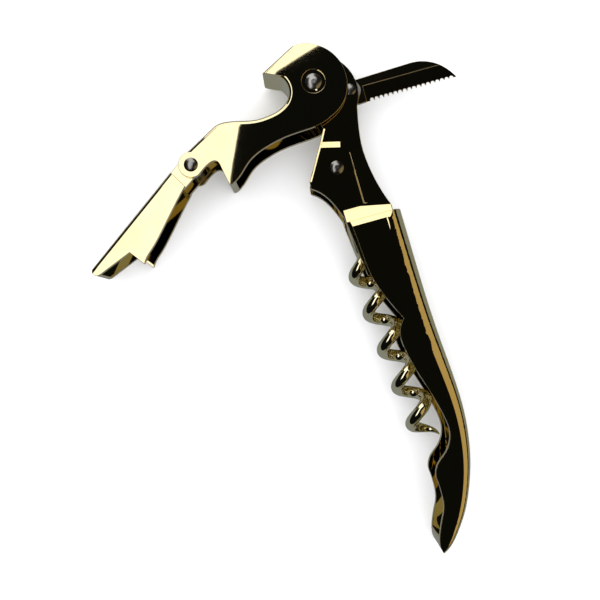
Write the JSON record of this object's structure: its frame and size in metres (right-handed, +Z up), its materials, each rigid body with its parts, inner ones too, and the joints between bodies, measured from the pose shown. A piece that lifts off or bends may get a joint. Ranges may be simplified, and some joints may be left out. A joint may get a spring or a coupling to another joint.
{
  "type": "lever corkscrew",
  "caption": "Folding lever corkscrew lying open on its side: hollow gold-plated handle with cap-lifting head, hinged stepped levers, wire worm and small serrated blade.",
  "frame": {"origin": "the point on the lower side of the grip on which the tool lies, below the middle of the grip", "axes": "+Y along the handle towards the head and lever pivot, +X towards the spine of the handle, away from the worm, +Z up, along every pivot axis"},
  "size_m": [0.093, 0.1203, 0.0134],
  "materials": {
    "frame_plating": "mirror-polished pale gold plating",
    "cover_plating": "mirror-polished pale gold plating",
    "lever_plating": "mirror-polished pale gold plating",
    "worm_plating": "mirror-polished pale gold plating",
    "blade_plating": "mirror-polished pale gold plating",
    "rivet_plating": "mirror-polished pale gold plating",
    "inner_steel": "plain turned steel"
  },
  "bodies": {
    "handle": {"neck_frame": "frame_plating", "grip_cover": "cover_plating", "lever_sleeve": "inner_steel", "worm_rivet": "rivet_plating", "worm_washers": "inner_steel", "blade_rivet": "rivet_plating", "blade_washers": "inner_steel"},
    "upper_lever": {"upper_lever": "lever_plating", "lever_rivet": "rivet_plating", "link_rivet": "rivet_plating"},
    "lower_lever": {"lower_lever": "lever_plating", "link_sleeve": "inner_steel"},
    "worm": {"worm": "worm_plating"},
    "blade": {"blade": "blade_plating"}
  },
  "joints": [
    {"name": "upper_lever_hinge", "type": "hinge", "parent": "handle", "child": "upper_lever", "pos_m": [-0.0063, 0.06, 0.0067], "axis": [0, 0, -1], "range_deg": [0, 50]},
    {"name": "lower_lever_hinge", "type": "hinge", "parent": "upper_lever", "child": "lower_lever", "pos_m": [-0.03811, 0.04917, 0.0067], "axis": [0, 0, -1], "range_deg": [0, 90]},
    {"name": "worm_hinge", "type": "hinge", "parent": "handle", "child": "worm", "pos_m": [-0.0063, 0.04, 0.0067], "axis": [0, 0, -1], "range_deg": [0, 75]},
    {"name": "blade_hinge", "type": "hinge", "parent": "handle", "child": "blade", "pos_m": [0.0015, 0.0565, 0.0067], "axis": [0, 0, -1], "range_deg": [0, 90]}
  ]
}
